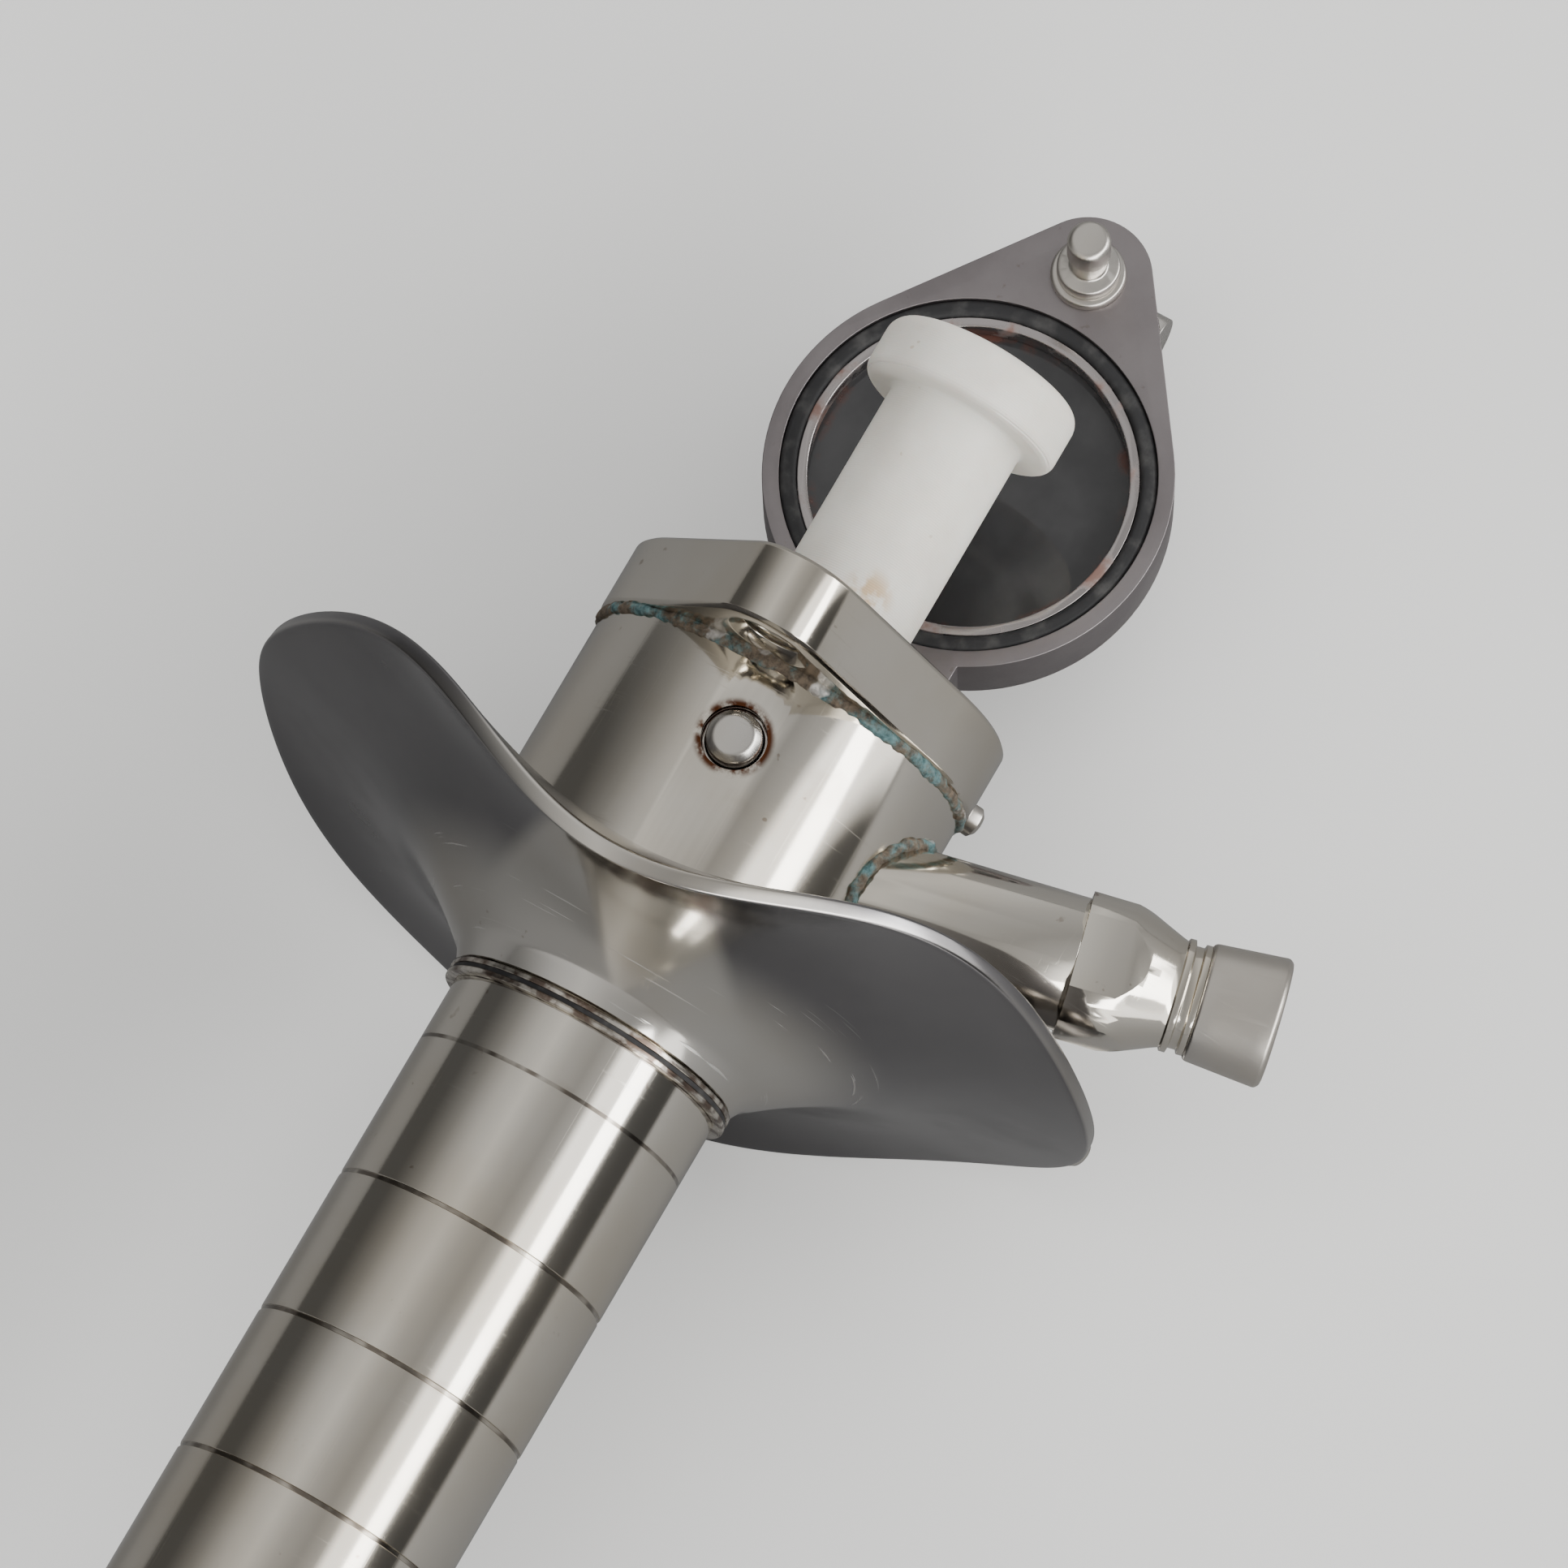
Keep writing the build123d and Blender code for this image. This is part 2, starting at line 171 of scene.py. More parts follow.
class Paint:
    """One material, or the world: its shader and the nodes that feed it."""

    def __init__(self, name, world=None):
        self.material = world or bpy.data.materials.new(name)
        self.material.use_nodes = True
        self.tree = self.material.node_tree
        self.shader = self.tree.nodes["Background" if world else "Principled BSDF"]
        self.coords = self.node("ShaderNodeTexCoord", output="Generated" if world else "Object")

    def node(self, kind, settings=None, inputs=None, output=0):
        made = self.tree.nodes.new(kind)
        for key, value in (settings or {}).items():
            if key == "stops":
                self.fill_ramp(made.color_ramp, value)
            else:
                setattr(made, key, value)
        for key, value in (inputs or {}).items():
            self.feed(made.inputs[key], value)
        return Value(self, made.outputs[output])

    def feed(self, socket, value):
        if isinstance(value, Value):
            self.tree.links.new(value.socket, socket)
        else:
            socket.default_value = value

    def fill_ramp(self, ramp, stops):
        while len(ramp.elements) < len(stops):
            ramp.elements.new(1.0)
        for element, (place, colour) in zip(ramp.elements, stops):
            element.position = place
            element.color = (*colour, 1)

    def set(self, **values):
        for key, value in values.items():
            self.feed(self.shader.inputs[key.replace("_", " ")], value)

    def axis(self, name):
        return self.node("ShaderNodeSeparateXYZ", {}, {0: self.coords}, output="XYZ".index(name))

    def stretched(self, scale):
        return self.node("ShaderNodeMapping", {}, {"Vector": self.coords, "Scale": scale})

    def noise(self, scale, detail=4.0, roughness=0.55, vector=None):
        inputs = {"Vector": vector or self.coords, "Scale": scale, "Detail": detail, "Roughness": roughness}
        return self.node("ShaderNodeTexNoise", {}, inputs)

    def ramp(self, value, stops):
        return self.node("ShaderNodeValToRGB", {"stops": stops}, {0: value})

    def mix(self, mask, first, second):
        colours = [c if isinstance(c, Value) else (*c, 1) for c in (first, second)]
        inputs = {0: mask, 6: colours[0], 7: colours[1]}
        return self.node("ShaderNodeMix", {"data_type": "RGBA"}, inputs, output=2)

    def bump(self, height, depth, strength):
        inputs = {"Strength": strength, "Distance": depth, "Height": height}
        return self.node("ShaderNodeBump", {}, inputs)

    def distance(self, place):
        inputs = {0: self.coords, 1: tuple(place)}
        return self.node("ShaderNodeVectorMath", {"operation": "DISTANCE"}, inputs, output="Value")

    def near(self, place, reach, soft):
        """1 within reach of a point and 0 beyond reach + soft."""
        return self.distance(place).step(reach + soft, reach)


print("node helpers ready")

# %% [markdown]
# ## Polished nickel
# Nickel plate is a warm, slightly yellow silver. Hand-polished plate isn't a perfect mirror: cloudy wipe
# marks change its roughness, hair scratches run round the tube, and a few brown specks of tarnish sit
# where water dried. The colour is nearly even, and the roughness carries most of the life.

# %% Polished nickel
NICKEL = (0.73, 0.695, 0.625)
TARNISH = (0.20, 0.115, 0.055)
CLOUDED = (0.93, 0.90, 0.85)
WORN_NICKEL = (0.64, 0.62, 0.59)


def nickel_colour(paint, colour, specks):
    """Nearly even nickel, a little browner in clouds, with a few specks of tarnish."""
    clouds = paint.noise(70.0, detail=5.0)
    spots = paint.noise(900.0, detail=2.0).step(0.72, 0.78) * paint.noise(90.0).step(0.45, 0.62) * specks
    clouded = tuple(part * share for part, share in zip(colour, CLOUDED))
    warm = paint.mix(clouds.step(0.35, 0.70), colour, clouded)
    return paint.mix(spots, warm, TARNISH)


def nickel(name, colour=NICKEL, shine=0.07, cloud=0.055, scratch=0.2, specks=0.5):
    """Starts a polished nickel finish, and returns its paint and its colour so far."""
    paint = Paint(name)
    clouds = paint.noise(70.0, detail=5.0)
    film = paint.noise(260.0, detail=3.0)
    hairs = paint.noise(1.0, detail=3.0, roughness=0.7, vector=paint.stretched((9000.0, 160.0, 160.0)))
    lengthwise = paint.noise(1.0, detail=2.0, vector=paint.stretched((60.0, 5200.0, 5200.0)))
    hair_mask = hairs.step(0.60, 0.72) + 0.6 * lengthwise.step(0.64, 0.74)
    paint.set(Metallic=1.0)
    paint.set(Roughness=(shine + cloud * clouds.step(0.35, 0.75) + 0.03 * film + 0.10 * hair_mask).clamped())
    height = hair_mask * -1.0 + 0.15 * film
    paint.set(Normal=paint.bump(height, 0.004 * MM, scratch))
    return paint, nickel_colour(paint, colour, specks)


def finished(paint, colour):
    """Gives the paint its colour last, after all its stains, and returns the material."""
    paint.set(Base_Color=colour)
    return paint.material


head_nickel = finished(*nickel("head_nickel"))
worn_nickel = finished(
    *nickel("worn_nickel", WORN_NICKEL, shine=0.24, cloud=0.12, scratch=0.6, specks=1.2)
)
print("nickel finishes", head_nickel.name, worn_nickel.name)

# %% [markdown]
# ## Ring marks
# The grooves are real geometry, and years of use have filled them with dark dirt. A mask that repeats
# every 10 mm along the tube darkens and roughens each groove and a faint halo beside it.

# %% Tube nickel
GRADUATION = 10 * MM


def tube_finish():
    paint, colour = nickel("tube_nickel")
    along = paint.axis("X")
    phase = (along * (1 / GRADUATION) + 0.5).math("FRACT") - 0.5
    distance = phase.math("ABSOLUTE")
    groove = distance.step(0.017, 0.010)
    broken = paint.noise(420.0, detail=2.0).step(0.35, 0.60)
    colour = paint.mix(groove * (0.25 + 0.6 * broken), colour, (0.085, 0.065, 0.05))
    halo = distance.step(0.07, 0.015) * paint.noise(300.0).step(0.52, 0.72) * 0.25
    return finished(paint, paint.mix(halo, colour, (0.40, 0.33, 0.26)))


tube_nickel = tube_finish()
print("ring marks every", GRADUATION / MM, "mm")

# %% [markdown]
# ## Finger plate nickel
# The wings are rougher, and their colour is painted dark as a painted reflection of dark surroundings,
# while the trumpet by the tube and the rim keep bright nickel as a painted highlight. So the finish depends
# on the distance from the tube's axis. Its scratches run round that axis, because a cloth and the sheath
# wipe the flare in circles: a noise is read in polar coordinates to draw them as arcs. Between the wings,
# towards the button, a wedge of the plate also keeps bright nickel right up to the rim, a painted highlight.

# %% Plate finish
# Where the plate keeps bright nickel as a painted highlight (flare, rim, wedge), and the greys of the painted
# dark reflection on the wings.
PAINTED_HIGHLIGHT_FLARE = (12.0 * MM, 18.5 * MM)
PAINTED_HIGHLIGHT_RIM = (30.5 * MM, 30.8 * MM)
ARCS_FADE = (20.0 * MM, 14.0 * MM)
PAINTED_HIGHLIGHT_WEDGE_SIDES = (15.5 * MM, 13.5 * MM)
PAINTED_HIGHLIGHT_WEDGE_TAPER = 0.42
PAINTED_HIGHLIGHT_WEDGE_START = (4.0 * MM, 8.0 * MM)
PLATE_NICKEL = (0.66, 0.64, 0.60)
PAINTED_DARK_REFLECTION = (0.20, 0.195, 0.20)
PAINTED_DIM_REFLECTION = (0.27, 0.262, 0.268)
DUST = (0.75, 0.73, 0.70)
SCRATCH = (0.93, 0.92, 0.88)


def plate_finish():
    paint = Paint("plate_nickel")
    bright = nickel_colour(paint, PLATE_NICKEL, specks=0.4)
    across, up = paint.axis("Y"), paint.axis("Z")
    radius = (across**2 + up**2) ** 0.5
    turn = across.math("ARCTAN2", up)
    polar = paint.node("ShaderNodeCombineXYZ", {}, {0: radius * 4200.0, 1: turn * 1.5})
    arcs = paint.noise(1.0, detail=2.0, vector=polar).step(0.66, 0.71)
    arcs = arcs * radius.step(*ARCS_FADE)
    # Painted highlight: a wedge between the wings, the flare by the tube and the rim keep bright nickel; the
    # painted dark reflection covers the rest of the wings.
    painted_highlight_wedge_side = across.math("ABSOLUTE") + PAINTED_HIGHLIGHT_WEDGE_TAPER * radius
    painted_highlight_wedge = painted_highlight_wedge_side.step(*PAINTED_HIGHLIGHT_WEDGE_SIDES) * up.step(*PAINTED_HIGHLIGHT_WEDGE_START)
    painted_dark_wing = radius.step(*PAINTED_HIGHLIGHT_FLARE) * radius.step(PAINTED_HIGHLIGHT_RIM[1], PAINTED_HIGHLIGHT_RIM[0]) * (1 - painted_highlight_wedge)
    cloud = paint.noise(45.0, detail=5.0)
    # Painted dark reflection on the wings, in two cloudy greys, with real dust mixed in below.
    painted_dark_and_dust = paint.mix(cloud.step(0.32, 0.70), PAINTED_DARK_REFLECTION, PAINTED_DIM_REFLECTION)
    dust = paint.noise(1300.0, detail=1.0).step(0.83, 0.86) * 0.6
    painted_dark_and_dust = paint.mix(dust, painted_dark_and_dust, DUST)
    colour = paint.mix(painted_dark_wing, bright, painted_dark_and_dust)
    colour = paint.mix(arcs * 0.6, colour, SCRATCH)
    smear = paint.noise(120.0, detail=4.0).step(0.45, 0.75)
    paint.set(Metallic=1.0)
    paint.set(Roughness=(0.12 + 0.09 * smear + 0.07 * painted_dark_wing + 0.15 * arcs).clamped())
    paint.set(Normal=paint.bump(arcs * -1.0 + 0.3 * cloud, 0.006 * MM, 0.5))
    return finished(paint, colour)


plate_nickel = plate_finish()
print("plate finish", plate_nickel.name)

# %% [markdown]
# ## Stains on the head
# Brown residue sits in the gap round the release button, and a thin brown line follows the collar.

# %% Sleeve and collar nickel
button_low, button_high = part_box("release_button")
button_centre = (button_low + button_high) / 2
SLEEVE_TOP = 13.1 * MM
button_top = (button_centre.x, button_centre.y, SLEEVE_TOP)


def sleeve_finish():
    paint, colour = nickel("sleeve_nickel")
    ragged = paint.noise(1100.0, detail=4.0)
    ring = paint.near(button_top, 2.25 * MM, 0.5 * MM) * ragged.step(0.30, 0.55)
    colour = paint.mix(ring, colour, (0.10, 0.035, 0.015))
    drip = paint.noise(200.0, detail=3.0).step(0.62, 0.74) * 0.30
    return finished(paint, paint.mix(drip, colour, (0.50, 0.44, 0.36)))


def collar_finish():
    paint, colour = nickel("collar_nickel", shine=0.20)
    rust = paint.noise(700.0, detail=4.0)
    colour = paint.mix(rust.step(0.38, 0.60) * 0.85, colour, (0.085, 0.040, 0.022))
    return finished(paint, colour)


sleeve_nickel = sleeve_finish()
collar_nickel = collar_finish()
print("stain centred in mm at", [round(v / MM, 1) for v in button_top])

# %% [markdown]
# ## Solder with verdigris
# Where two plated parts are soldered, damp reaches the copper alloy and turns it blue-green. The seam is
# a mix of three things: bare grey solder, dark brown oxide and pale blue-green crust.

# %% Verdigris
def verdigris_finish():
    paint = Paint("verdigris_solder")
    patches = paint.noise(520.0, detail=6.0, roughness=0.65)
    fine = paint.noise(2300.0, detail=5.0, roughness=0.7)
    oxide = paint.ramp(fine, [(0.30, (0.030, 0.024, 0.018)), (0.62, (0.13, 0.10, 0.07))])
    crust = paint.ramp(fine, [(0.35, (0.022, 0.060, 0.064)), (0.65, (0.12, 0.21, 0.215))])
    crusted = patches.step(0.44, 0.62)
    bare = paint.noise(380.0, detail=3.0).step(0.60, 0.68)
    colour = paint.mix(crusted, oxide, crust)
    colour = paint.mix(bare, colour, (0.55, 0.53, 0.50))
    paint.set(Metallic=bare * 0.9, Roughness=(0.85 - 0.55 * bare).clamped())
    paint.set(Normal=paint.bump(fine + 0.7 * patches, 0.12 * MM, 0.8))
    return finished(paint, colour)


verdigris = verdigris_finish()
print("solder finish", verdigris.name)

# %% [markdown]
# ## Satin window frame
# The frame is glass-bead blasted, so it is duller and slightly purplish beside the polished head.

# %% Satin frame, steel and rubber
def satin_finish():
    paint = Paint("satin_frame")
    grain = paint.noise(5200.0, detail=2.0)
    clouds = paint.noise(120.0, detail=4.0)
    colour = paint.mix(clouds.step(0.3, 0.7), (0.33, 0.305, 0.31), (0.265, 0.242, 0.247))
    rim_dirt = paint.noise(800.0, detail=4.0).step(0.66, 0.76) * 0.5
    paint.set(Metallic=1.0, Roughness=(0.36 + 0.10 * grain + 0.06 * clouds).clamped())
    paint.set(Normal=paint.bump(grain, 0.010 * MM, 0.5))
    return finished(paint, paint.mix(rim_dirt, colour, (0.16, 0.11, 0.09)))


def ring_finish():
    paint = Paint("retaining_ring_metal")
    rust = paint.noise(300.0, detail=5.0).step(0.50, 0.66)
    colour = paint.mix(rust * 0.8, (0.46, 0.43, 0.425), (0.15, 0.055, 0.030))
    paint.set(Metallic=(1.0 - 0.6 * rust).clamped(), Roughness=(0.25 + 0.35 * rust).clamped())
    return finished(paint, colour)


def steel_finish():
    paint = Paint("drawn_steel")
    lines = paint.noise(1.0, detail=3.0, vector=paint.stretched((30.0, 4000.0, 4000.0)))
    paint.set(Metallic=1.0, Roughness=(0.22 + 0.18 * lines).clamped())
    paint.set(Normal=paint.bump(lines, 0.004 * MM, 0.5))
    return finished(paint, paint.mix(lines, (0.50, 0.50, 0.49), (0.62, 0.61, 0.60)))


def rubber_finish():
    paint = Paint("black_rubber")
    bloom = paint.noise(600.0, detail=5.0)
    paint.set(Roughness=(0.50 + 0.25 * bloom).clamped())
    paint.set(Normal=paint.bump(paint.noise(3000.0), 0.02 * MM, 0.4))
    return finished(paint, paint.mix(bloom.step(0.45, 0.75), (0.012, 0.012, 0.013), (0.045, 0.044, 0.043)))


satin_frame = satin_finish()
ring_metal = ring_finish()
drawn_steel = steel_finish()
black_rubber = rubber_finish()
print("frame finishes", satin_frame.name, ring_metal.name, black_rubber.name)

# %% [markdown]
# ## Window glass
# The glass is thick and smoky. Reddish-brown residue has crept in from under the retaining ring, so the
# stain is a ragged band that follows the ring. Its mask is the distance from the window's centre.

# %% Smoky glass
glass_low, glass_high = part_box("window_glass")
glass_centre = (glass_low + glass_high) / 2
STAIN_WANDER = 1.2 * MM
STAIN_EDGE = (10.5 * MM, 11.1 * MM)


def glass_finish():
    paint = Paint("smoky_glass")
    ragged = paint.noise(330.0, detail=5.0)
    creep = paint.distance(glass_centre) + STAIN_WANDER * ragged
    band = creep.step(*STAIN_EDGE) * ragged.step(0.46, 0.64) * 0.8
    film = paint.noise(150.0, detail=4.0)
    paint.set(Roughness=(0.04 + 0.10 * film.step(0.5, 0.8) + 0.5 * band).clamped())
    paint.set(IOR=1.52)
    colour = paint.mix(film.step(0.35, 0.75), (0.018, 0.018, 0.019), (0.032, 0.032, 0.033))
    return finished(paint, paint.mix(band, colour, (0.075, 0.022, 0.012)))


smoky_glass = glass_finish()
print("glass centre in mm", [round(v / MM, 1) for v in glass_centre])

# %% [markdown]
# ## White plastic
# The obturator is turned from white nylon. Light enters it a little, the surface is matte with fine
# turning marks, and a tan stain has soaked in where the shaft meets the seat.

# %% White nylon
SEAT_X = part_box("seat_flange")[1].x
TURN_PITCH = 0.16 * MM
TAN_PLACE = (SEAT_X + 3.6 * MM, -1.7 * MM, 4.5 * MM)


def nylon_finish():
    paint = Paint("white_nylon")
    along = paint.axis("X")
    turning = (along * (2 * math.pi / TURN_PITCH)).math("SINE")
    cloud = paint.noise(160.0, detail=4.0)
    colour = paint.mix(cloud.step(0.35, 0.75), (0.70, 0.68, 0.625), (0.62, 0.59, 0.53))
    tan = paint.near(TAN_PLACE, 0.7 * MM, 1.5 * MM)
    tan = tan * paint.noise(900.0, detail=5.0).step(0.36, 0.58) * 0.8
    colour = paint.mix(tan, colour, (0.50, 0.33, 0.16))
    fleck = paint.noise(1500.0, detail=1.0).step(0.77, 0.80) * 0.5
    colour = paint.mix(fleck, colour, (0.42, 0.34, 0.24))
    paint.set(Roughness=(0.42 + 0.14 * cloud).clamped())
    paint.set(Subsurface_Weight=0.12, Subsurface_Scale=2 * MM)
    paint.set(Normal=paint.bump(0.5 * turning + cloud, 0.012 * MM, 0.6))
    return finished(paint, colour)


white_nylon = nylon_finish()
print("nylon", white_nylon.name)

# %% [markdown]
# ## Floor, world and lights
# Polished metal shows whatever stands round it, so the world is the studio. It is a soft grey room with
# darker bands low at both sides of the tube, and a bright strip that draws the long white streak. A pale
# floor would be mirrored along every edge of the metal and wash it out. A studio puts black cards there.
# Here the floor's finish asks with a Light Path node whether a ray comes from a reflection, and is darker
# then. The ceiling lamps are left out of reflections for the same reason.

# %% Floor finish
def floor_finish():
    paint = Paint("pale_floor")
    haze = paint.noise(3.0, detail=2.0)
    paint.set(Roughness=0.75)
    pale = paint.mix(haze, (0.70, 0.70, 0.69), (0.73, 0.73, 0.72))
    reflected = paint.node("ShaderNodeLightPath", output="Is Glossy Ray")
    return finished(paint, paint.mix(reflected * 0.85, pale, (0.06, 0.06, 0.062)))


floor.data.materials.append(floor_finish())
print("floor finish", floor.data.materials[0].name)

# %% Lights
def soft_box(name, place, aim, size, power, mirrored=False):
    """A rectangular area light that faces the aim point."""
    data = bpy.data.lights.new(name, "AREA")
    data.shape = "RECTANGLE"
    data.size, data.size_y = size
    data.energy = power
    lamp = bpy.data.objects.new(name, data)
    bpy.context.scene.collection.objects.link(lamp)
    lamp.location = place
    lamp.rotation_mode = "QUATERNION"
    lamp.rotation_quaternion = (Vector(aim) - Vector(place)).to_track_quat("-Z", "Y")
    lamp.visible_glossy = mirrored


head_centre = (0.225, 0.0, 0.0)
soft_box("strip_light", (0.15, -0.80, 0.50), head_centre, (2.4, 0.22), 12.0, mirrored=True)
soft_box("top_light", (0.15, -0.10, 1.60), head_centre, (2.6, 0.9), 20.0)
soft_box("fill_light", (1.10, 0.25, 0.55), head_centre, (0.5, 0.5), 3.0)

# %% [markdown]
# The room is one ramp of greys, read by direction from one side of the tube, at 0, to the other, at 1. The
# bright stretch near the start lies beside the strip lamp and widens its streak.

# %% World
ROOM_TINT = (1.0, 0.99, 0.975)
ROOM_GREYS = [
    (0.0, 0.07),
    (0.04, 0.10),
    (0.075, 2.3),
    (0.19, 2.6),
    (0.235, 0.55),
    (0.34, 0.38),
    (0.48, 0.52),
    (0.62, 0.80),
    (0.76, 0.58),
    (0.88, 0.26),
    (0.97, 0.09),
]


def room():
    world = bpy.data.worlds.new("studio")
    paint = Paint("studio", world)
    side = paint.axis("Y") * 0.5 + 0.5
    stops = [(place, tuple(grey * share for share in ROOM_TINT)) for place, grey in ROOM_GREYS]
    paint.set(Color=paint.ramp(side, stops), Strength=1.0)
    return world


bpy.context.scene.world = room()
print("room ramp stops", len(ROOM_GREYS))

# %% [markdown]
# ## Honed copies
# A turned part has a tiny round on every edge, and that round is what flashes in the light. A CAD mesh
# has none, and its triangles are loose, so each part is copied, its points are merged, flat areas are
# dissolved back to single faces, and a narrow bevel goes on every sharp edge. The copy replaces the
# CAD node, which stays underneath for collision.

# %% Honing
SHARP = math.radians(28)
SMOOTH = math.radians(38)
FLAT = math.radians(0.4)
MERGE = 0.0005 * MM


def round_edges(piece, width, segments, sharp):
    """Bevels each edge that turns by more than the sharp angle. The width is in mm."""
    bevel = piece.modifiers.new("edge", "BEVEL")
    bevel.width = width * MM
    bevel.segments = segments
    bevel.limit_method = "ANGLE"
    bevel.angle_limit = sharp
    bpy.ops.object.modifier_apply(modifier=bevel.name)


def honed(node, material, edge, segments):
    """Makes the merged, bevelled and smooth copy that replaces a CAD node. The edge width is in mm."""
    only(frame["nodes"][node])
    bpy.ops.object.duplicate()
    piece = bpy.context.object
    for key in list(piece.keys()):
        del piece[key]
    piece.parent = None
    piece.name = node + "_honed"
    only(piece)
    bpy.ops.object.mode_set(mode="EDIT")
    bpy.ops.mesh.select_all(action="SELECT")
    bpy.ops.mesh.remove_doubles(threshold=MERGE)
    bpy.ops.mesh.dissolve_limited(angle_limit=FLAT)
    bpy.ops.object.mode_set(mode="OBJECT")
    round_edges(piece, edge, segments, SHARP)
    bpy.ops.object.shade_smooth_by_angle(angle=SMOOTH)
    dress(piece, node, material)


def dress(piece, node, material):
    """Gives a piece its material and its body, and hides the CAD node that it stands for."""
    piece.data.materials.clear()
    piece.data.materials.append(material)
    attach(piece, body_of_node[node])
    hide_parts(node)


HONED = [
    ("speculum_tube", tube_nickel, 0.03, 1),
    ("tube_collar", collar_nickel, 0.06, 2),
    ("head_sleeve", sleeve_nickel, 0.08, 2),
    ("seat_flange", head_nickel, 0.10, 2),
    ("hinge_bracket", worn_nickel, 0.15, 2),
    ("hinge_pin", worn_nickel, 0.2, 3),
    ("flange_screw", worn_nickel, 0.15, 3),
    ("light_post_barrel", head_nickel, 0.06, 2),
    ("post_fitting", head_nickel, 0.14, 3),
    ("post_adaptor", worn_nickel, 0.12, 2),
    ("fibre_ferrule", worn_nickel, 0.08, 2),
    ("nipple_base", head_nickel, 0.15, 2),
    ("gas_nipple", worn_nickel, 0.15, 3),
    ("button_bush", worn_nickel, 0.05, 2),
    ("release_button", worn_nickel, 0.15, 3),
    ("window_frame", satin_frame, 0.22, 3),
    ("retaining_ring", ring_metal, 0.12, 3),
    ("window_gasket", black_rubber, 0.35, 4),
    ("window_glass", smoky_glass, 0.05, 1),
    ("catch_pin_collar", worn_nickel, 0.22, 3),
    ("catch_pin", worn_nickel, 0.15, 3),
    ("frame_screw", worn_nickel, 0.3, 3),
    ("obturator_grip", white_nylon, 0.30, 4),
    ("obturator_tip", white_nylon, 0.30, 4),
    ("obturator_rod", drawn_steel, 0.2, 2),
]
for node, material, edge, segments in HONED:
    honed(node, material, edge, segments)
print("honed copies", len(HONED))

# %% Hidden parts keep their CAD mesh
HIDDEN = {
    "inner_liner": head_nickel,
    "light_ring": smoky_glass,
    "fibre_bundle": smoky_glass,
    "latch_arm": drawn_steel,
    "latch_plate": drawn_steel,
    "button_spring": drawn_steel,
    "tube_seal_ring": black_rubber,
}
for node, material in HIDDEN.items():
    cad_piece = frame["nodes"][node]
    cad_piece.data.materials.clear()
    cad_piece.data.materials.append(material)
print("hidden parts", len(HIDDEN))

# %% [markdown]
# ## Finger plate
# The plate is a trumpet flare whose two wings stand higher, pressed from 1.1 mm sheet. It starts as a
# circle at the tube, grows outwards ring by ring, and each point then takes its height from the formula
# that describes the pressing. Solidify gives the sheet its thickness, and a bevel rounds the rim. The
# sizes are in mm. Each wave round the rim has a number of crests, a height and the angle of one crest.

# %% Plate surface
PLATE_R = 31.1
PLATE_T = 1.1
PLATE_X = 213.5
HUB_R = 9.9
HUB_X = 205.4
HUB_SEAT = 0.05
HUB_CLEAR = 0.1
FLARE_DEPTH = 20.0
FLARE_POWER = 2.5
RIM_ROUND = 0.22
SHEET_R = PLATE_R - 0.45
RINGS = 34
AROUND = 260
RIM_WAVES = {
    "tilt": (1, 1.7, -8),
    "wings": (2, 3.0, 80),
    "twist": (3, 0.9, -49),
    "square": (4, 1.4, 44),
    "lobes": (5, 0.5, 29),
    "flats": (6, 0.4, 30),
}


def plate_height(y, z):
    """Far face of the plate, in mm: a trumpet flare plus waves that grow towards the rim."""
    rho = min(math.hypot(y, z) / PLATE_R, 1.0)
    angle = math.atan2(y, z)
    waves = sum(height * rho**crests * math.cos(crests * (angle - math.radians(crest)))
                for crests, height, crest in RIM_WAVES.values())
    return PLATE_X - FLARE_DEPTH * (1 - rho) ** FLARE_POWER + waves


def sheet_height(y, z):
    """Height of the sheet, whose first ring sits on the tube's collar."""
    if math.hypot(y, z) <= HUB_R + HUB_CLEAR:
        return HUB_X + HUB_SEAT
    return max(plate_height(y, z), HUB_X + HUB_CLEAR)


def finger_plate():
    bpy.ops.object.select_all(action="DESELECT")
    bpy.ops.mesh.primitive_circle_add(vertices=AROUND, radius=HUB_R * MM, rotation=(0, math.pi / 2, 0))
    plate = settle(bpy.context.object)
    plate.name = "pressed_finger_plate"
    bpy.ops.object.mode_set(mode="EDIT")
    bpy.ops.mesh.select_all(action="SELECT")
    radius = HUB_R
    for ring in range(1, RINGS + 1):
        wanted = HUB_R + (SHEET_R - HUB_R) * ring / RINGS
        bpy.ops.mesh.extrude_region()
        grow = wanted / radius
        bpy.ops.transform.resize(value=(1, grow, grow), center_override=(0, 0, 0))
        radius = wanted
    bpy.ops.object.mode_set(mode="OBJECT")
    for vertex in plate.data.vertices:
        vertex.co.x = sheet_height(vertex.co.y / MM, vertex.co.z / MM) * MM
    sheet = plate.modifiers.new("sheet", "SOLIDIFY")
    sheet.thickness = PLATE_T * MM
    sheet.offset = 1.0
    sheet.use_even_offset = True
    bpy.ops.object.modifier_apply(modifier=sheet.name)
    return plate


plate = finger_plate()
round_edges(plate, RIM_ROUND, 3, math.radians(50))
bpy.ops.object.shade_smooth_by_angle(angle=math.radians(45))
dress(plate, "finger_plate", plate_nickel)
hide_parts("plate_hub")
heights = [vertex.co.x / MM for vertex in plate.data.vertices]
print("plate from", round(min(heights), 2), "to", round(max(heights), 2))

# %% [markdown]
# ## Solder seams
# A solder seam is a bead that rises and falls where the iron paused. Each bead is a torus that is bent to
# its joint. Smooth waves along it and a fine displacement make it lumpy. The sizes are in mm.

# %% Flange seam
BEAD_R = 0.42
BEAD_SIDES = 14
SEAM_R = 13.05
SEAM_SINK = 0.25


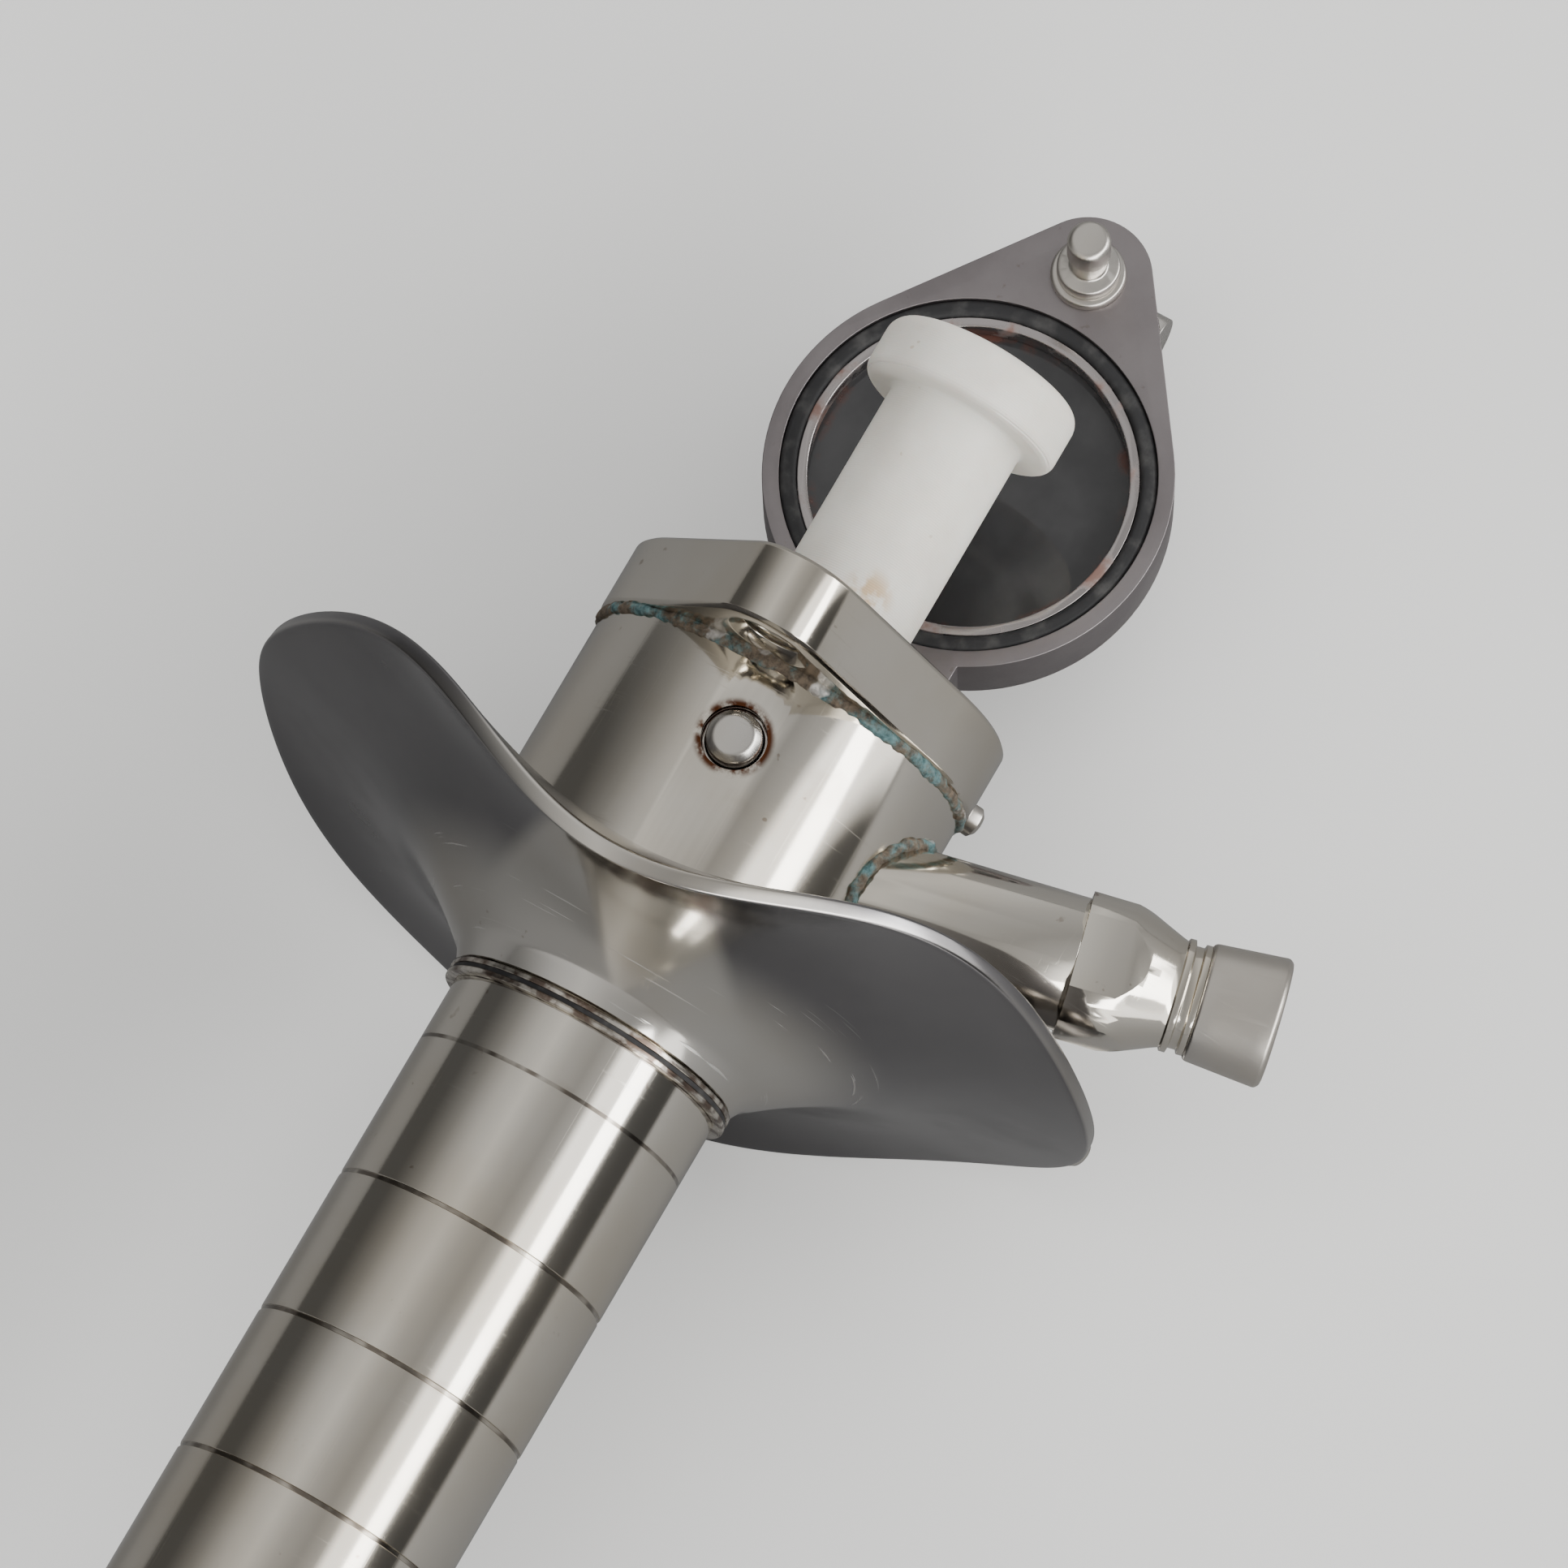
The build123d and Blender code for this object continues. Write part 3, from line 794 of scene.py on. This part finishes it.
def roughen(piece, size, height):
    """Pushes the surface in and out by a cloud texture."""
    clouds = bpy.data.textures.new(piece.name + "_lumps", "CLOUDS")
    clouds.noise_scale = size * MM
    lumps = piece.modifiers.new("lumps", "DISPLACE")
    lumps.texture = clouds
    lumps.strength = height * MM
    lumps.mid_level = 0.5
    only(piece)
    bpy.ops.object.modifier_apply(modifier=lumps.name)
    bpy.ops.object.shade_smooth()


def bead(major, segments, **turned):
    """A torus that runs round a joint."""
    bpy.ops.object.select_all(action="DESELECT")
    bpy.ops.mesh.primitive_torus_add(
        major_radius=major * MM,
        minor_radius=BEAD_R * MM,
        major_segments=segments,
        minor_segments=BEAD_SIDES,
        **turned,
    )
    return bpy.context.object


def swell(turn):
    """The bead is thicker and thinner where the iron paused, and thickest by the latch lug."""
    waves = 0.25 * math.sin(5 * turn + 1.0) * math.sin(11 * turn)
    return 1 + waves + 0.35 * math.exp(-((turn / 0.5) ** 2))


seam_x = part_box("flange_solder")[1].x / MM - SEAM_SINK
seam = settle(bead(SEAM_R, 420, rotation=(0, math.pi / 2, 0)))
seam.name = "flange_seam"
for vertex in seam.data.vertices:
    turn = math.atan2(vertex.co.y, vertex.co.z)
    vertex.co.x = (seam_x + vertex.co.x / MM * swell(turn)) * MM
roughen(seam, size=0.7, height=0.42)
dress(seam, "flange_solder", verdigris)
print("flange seam at x", round(seam_x, 2))

# %% [markdown]
# The post meets the round sleeve along a saddle-shaped curve. Each point of the torus slides along the
# post's axis until it lies on the sleeve. The post's start, its direction and the sleeve's radius repeat
# those of the CAD.

# %% Post seam
POST_START = Vector((221.26, -12.0, 2.57))
POST_DIR = Vector((0.2352, -0.9630, -0.1313)).normalized()
POST_BEAD_R = 4.55
SLEEVE_R = 13.19


def slide_to_sleeve(point):
    """How far along the post's axis a point has to go to lie on the sleeve."""
    a = POST_DIR.y**2 + POST_DIR.z**2
    b = 2 * (point.y * POST_DIR.y + point.z * POST_DIR.z)
    c = point.y**2 + point.z**2 - SLEEVE_R**2
    return (-b + math.sqrt(max(b * b - 4 * a * c, 0.0))) / (2 * a)


post_seam = bead(POST_BEAD_R, 220)
post_seam.name = "post_seam"
post_seam.rotation_mode = "QUATERNION"
post_seam.rotation_quaternion = POST_DIR.to_track_quat("Z", "Y")
post_seam.location = POST_START * MM
settle(post_seam)
for vertex in post_seam.data.vertices:
    point = vertex.co / MM
    station = (point - POST_START).dot(POST_DIR)
    outward = point - POST_START - POST_DIR * station
    centre = POST_START + outward.normalized() * POST_BEAD_R
    vertex.co = (point + POST_DIR * slide_to_sleeve(centre)) * MM
roughen(post_seam, size=0.8, height=0.5)
dress(post_seam, "post_solder", verdigris)
print("post seam points", len(post_seam.data.vertices))
